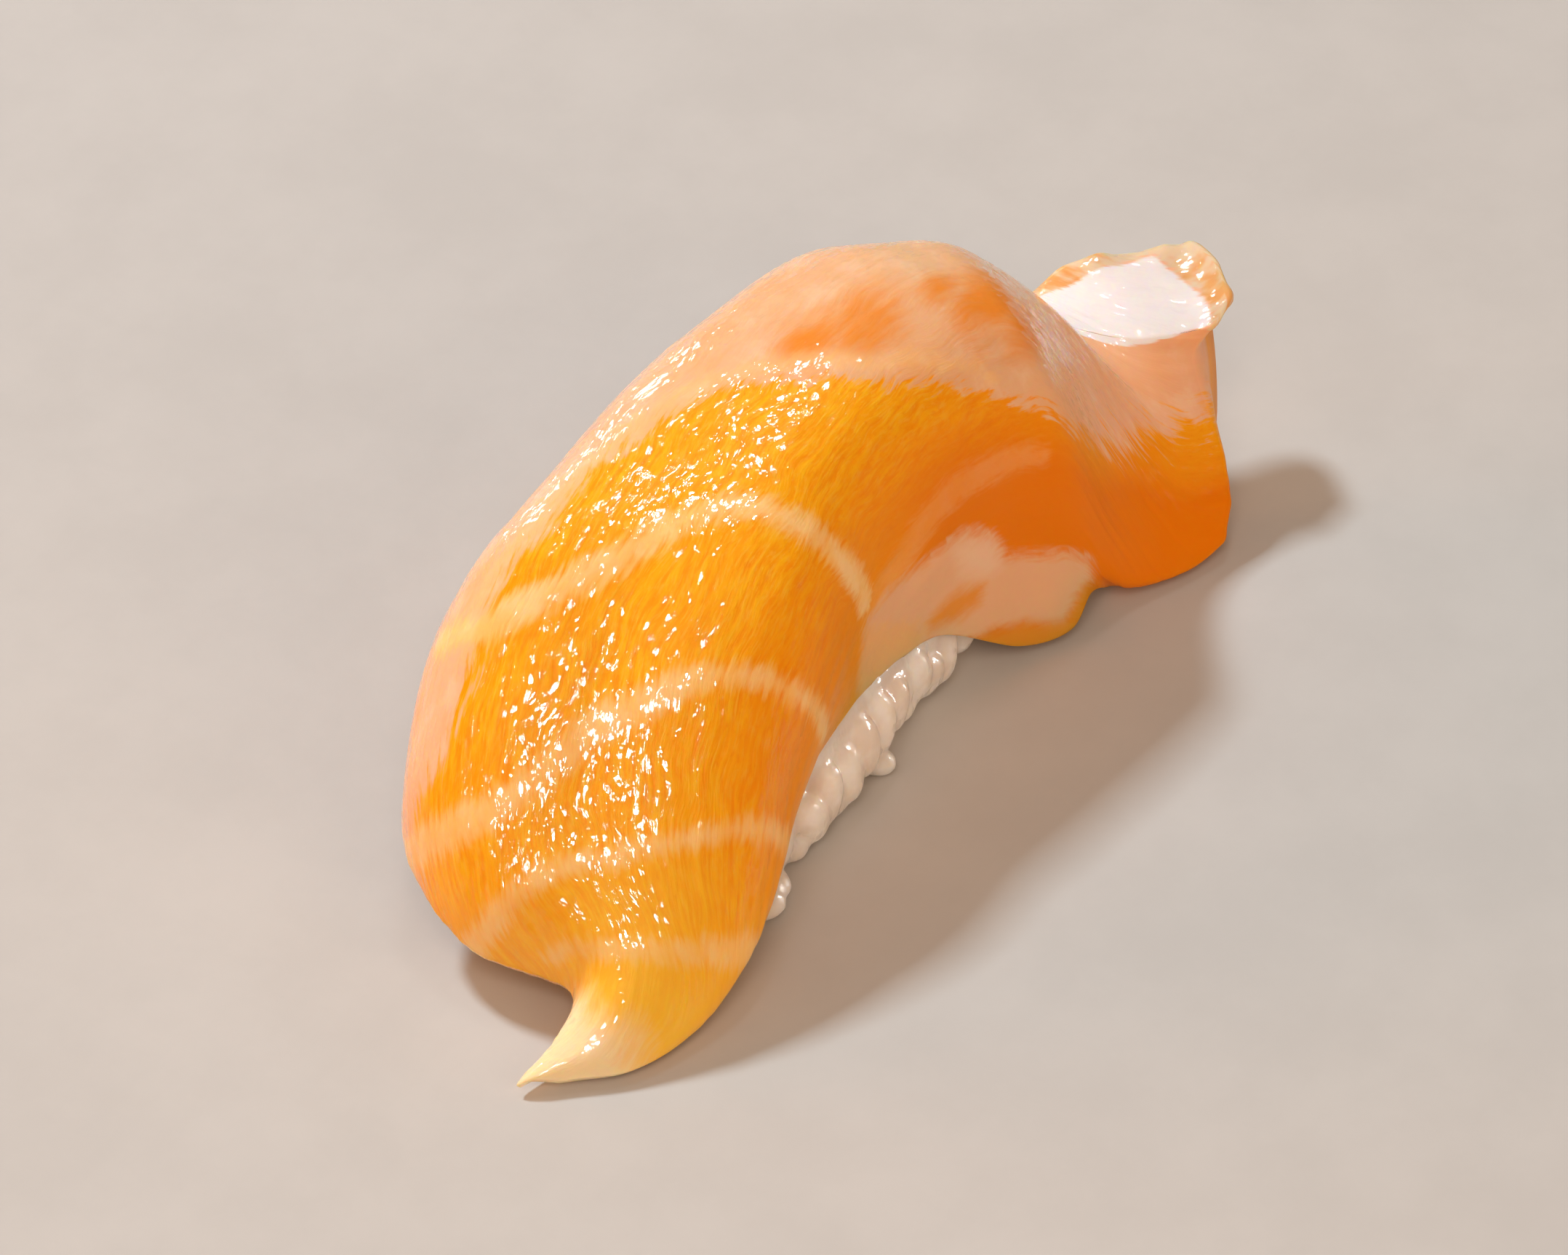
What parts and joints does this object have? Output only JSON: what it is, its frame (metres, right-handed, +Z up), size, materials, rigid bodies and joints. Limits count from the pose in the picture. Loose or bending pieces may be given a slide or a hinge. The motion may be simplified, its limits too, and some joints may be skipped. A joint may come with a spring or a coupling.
{
  "type": "salmon nigiri",
  "caption": "Hand-pressed block of sushi rice with a thick slice of salmon belly draped over it, its tail end standing up.",
  "frame": {"origin": "on the surface that the rice rests on, under the middle of the whole piece", "axes": "+X along the rice block from the thin front tip of the slice to its standing tail end, +Y to the left, +Z up"},
  "size_m": [0.093, 0.0392, 0.0302],
  "materials": {
    "salmon": "wet raw fish, orange with pale fat lines",
    "rice": "moist cooked rice, translucent off-white"
  },
  "bodies": {
    "root": {"salmon_slice": "salmon", "rice_ball": "rice"}
  },
  "joints": []
}
